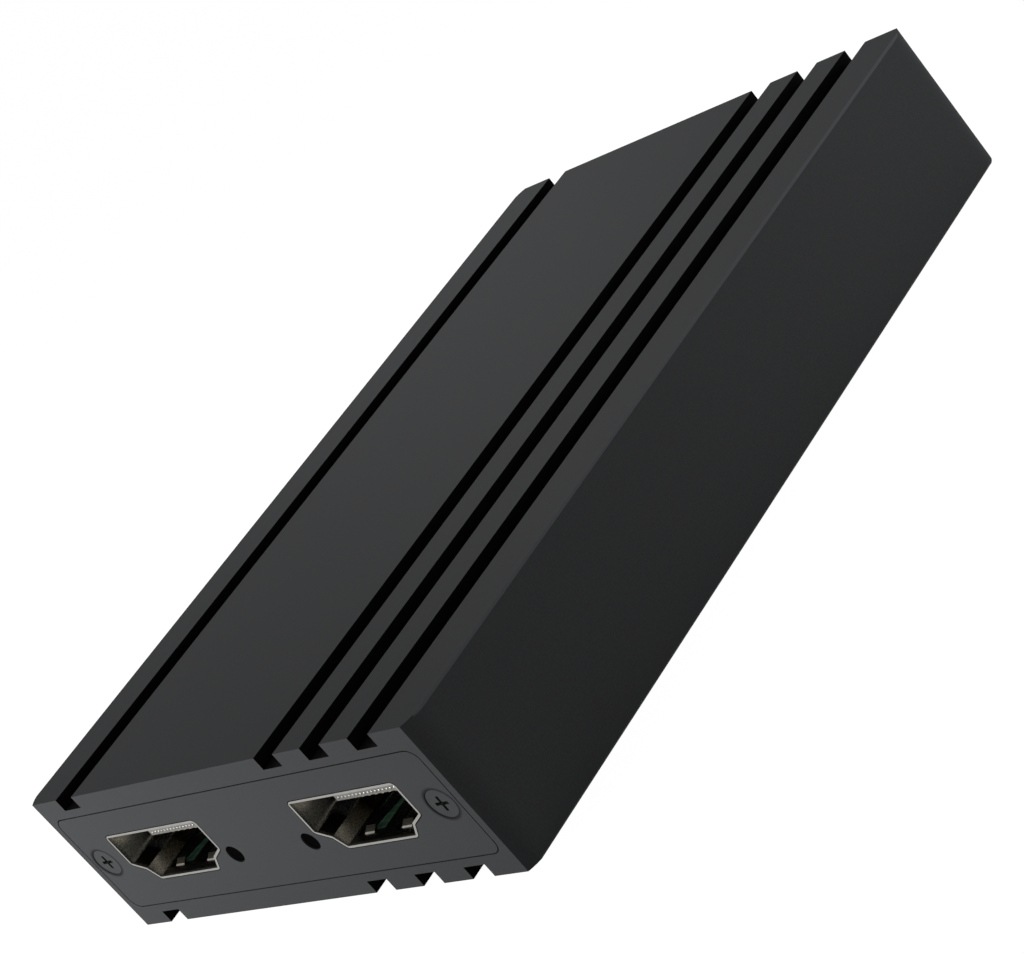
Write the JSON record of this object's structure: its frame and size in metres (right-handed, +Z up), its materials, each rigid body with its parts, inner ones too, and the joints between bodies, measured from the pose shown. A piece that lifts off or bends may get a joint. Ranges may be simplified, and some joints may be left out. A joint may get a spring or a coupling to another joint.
{
  "type": "video capture box",
  "caption": "Slim grooved metal box with video sockets in one end and data and audio sockets in the other, which captures video and sound for a computer.",
  "frame": {"origin": "centre of the case's bottom face", "axes": "+Y runs along the case from the video ports to the data port, +Z is up through the thin way, +X is to the right as the video ports are faced"},
  "size_m": [0.062, 0.1, 0.0173],
  "materials": {
    "case_anodised": "black anodised, fine bead-blasted satin",
    "plate_anodised": "black anodised, fine satin",
    "screw_black": "blackened steel, satin",
    "board_green": "green solder mask over glass laminate",
    "plated_shell": "nickel-plated sheet steel",
    "port_moulding": "grey moulded plastic",
    "black_moulding": "black moulded plastic",
    "gilt_contact": "gilded copper alloy",
    "plated_bush": "nickel-plated brass",
    "smoked_pipe": "smoked clear plastic",
    "lamp_body": "white lamp package with a clear lens",
    "chip_black": "black moulding compound",
    "sink_metal": "clear anodised extrusion",
    "soft_pad": "soft grey silicone",
    "tinned_lead": "tinned metal",
    "ferrite_grey": "matt ferrite",
    "can_metal": "bare aluminium can",
    "ceramic_tan": "fired ceramic"
  },
  "bodies": {
    "root": {"case_sleeve": "case_anodised", "front_plate": "plate_anodised", "rear_plate": "plate_anodised", "front_screws": "screw_black", "rear_screws": "screw_black", "circuit_board": "board_green", "left_video_port_shell": "plated_shell", "left_video_port_insulator": "port_moulding", "left_video_port_contacts": "gilt_contact", "right_video_port_shell": "plated_shell", "right_video_port_insulator": "port_moulding", "right_video_port_contacts": "gilt_contact", "light_pipes": "smoked_pipe", "status_lamps": "lamp_body", "data_port_shell": "plated_shell", "data_port_insulator": "black_moulding", "data_port_contacts": "gilt_contact", "audio_jack_bodies": "black_moulding", "audio_jack_bushes": "plated_bush", "audio_jack_springs": "gilt_contact", "capture_chip": "chip_black", "heat_sink": "sink_metal", "thermal_pad": "soft_pad", "memory_chips": "chip_black", "video_receiver_chips": "chip_black", "data_bridge_chip": "chip_black", "audio_codec_chip": "chip_black", "flash_chip_body": "chip_black", "flash_chip_leads": "tinned_lead", "power_inductors": "ferrite_grey", "electrolytic_capacitors": "can_metal", "clock_crystals": "tinned_lead", "ceramic_capacitors": "ceramic_tan", "surge_guards": "chip_black"}
  },
  "joints": []
}
